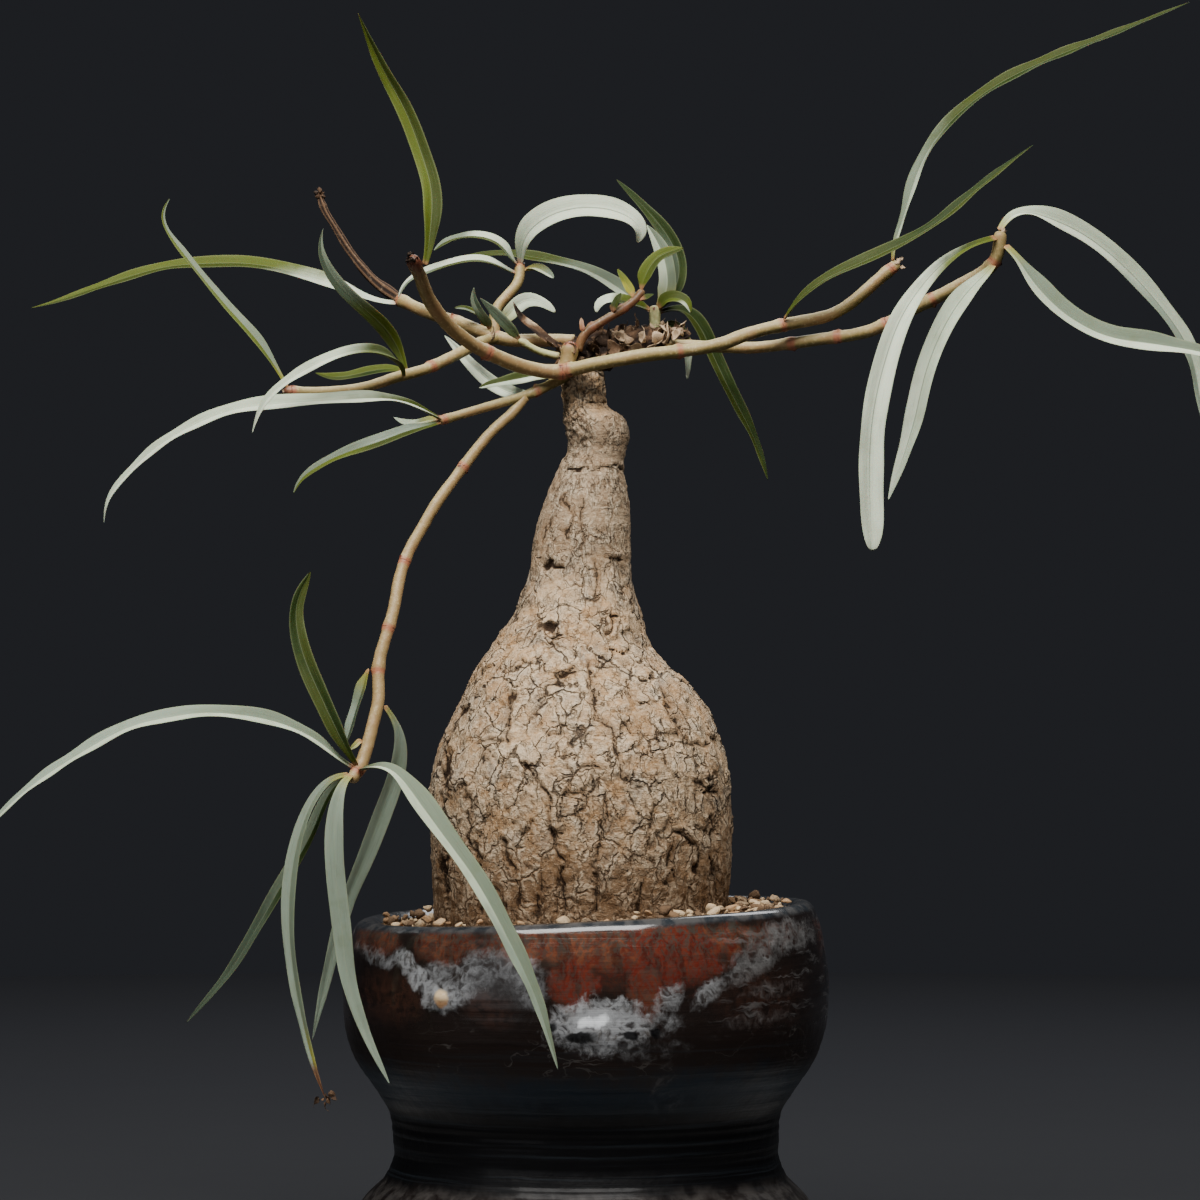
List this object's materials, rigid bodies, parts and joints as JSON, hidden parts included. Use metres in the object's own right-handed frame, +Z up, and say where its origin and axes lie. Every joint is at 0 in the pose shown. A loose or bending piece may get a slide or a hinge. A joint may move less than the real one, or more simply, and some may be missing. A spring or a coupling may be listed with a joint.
{
  "type": "potted euphorbia",
  "caption": "Caudex-forming succulent in a small round glazed pot: a bottle-shaped trunk with corky bark, bare sprawling stems and long narrow arching leaves.",
  "frame": {"origin": "middle of the pot's underside, on the surface it stands on", "axes": "+Z up; -Y towards the viewer in front of the plant, so +X is the viewer's right"},
  "size_m": [0.3053, 0.1329, 0.3168],
  "materials": {
    "glazed_clay": "gloss",
    "gritty_soil": "matte",
    "bark": "matte",
    "dry_bract": "matte",
    "bare_stem": "satin",
    "leaf_green": "satin",
    "leaf_silver": "satin"
  },
  "bodies": {
    "root": {"pot": "glazed_clay", "soil": "gritty_soil", "caudex": "bark", "crown": "bark", "stem_a": "bare_stem", "stem_b": "bare_stem", "stem_c": "bare_stem", "stem_d": "bare_stem", "stem_e": "bare_stem", "stem_g": "bare_stem", "stem_h": "bare_stem", "stem_i": "bare_stem", "withered_tip": "dry_bract", "dried_leaf": "dry_bract", "shoot_f": "leaf_green", "shoot_j": "leaf_green", "shoot_k": "leaf_green", "leaf_a1": "leaf_green", "leaf_b1": "leaf_green", "leaf_b2": "leaf_green", "leaf_c1": "leaf_silver", "leaf_c2": "leaf_silver", "leaf_c3": "leaf_silver", "leaf_c4": "leaf_silver", "leaf_d1": "leaf_green", "leaf_e1": "leaf_silver", "leaf_e2": "leaf_silver", "leaf_e3": "leaf_silver", "leaf_e4": "leaf_silver", "leaf_f2": "leaf_green", "leaf_f3": "leaf_green", "leaf_f4": "leaf_green", "leaf_g1": "leaf_green", "leaf_g2": "leaf_green", "leaf_g3": "leaf_green", "leaf_g4": "leaf_green", "leaf_h1": "leaf_silver", "leaf_h2": "leaf_silver", "leaf_h3": "leaf_silver", "leaf_h4": "leaf_silver", "leaf_h5": "leaf_silver", "leaf_i1": "leaf_silver", "leaf_i2": "leaf_silver", "leaf_i3": "leaf_silver", "leaf_i4": "leaf_silver", "leaf_i5": "leaf_silver", "leaf_i6": "leaf_silver", "leaf_i7": "leaf_silver", "leaf_i8": "leaf_silver", "leaf_i9": "leaf_silver"}
  },
  "joints": []
}
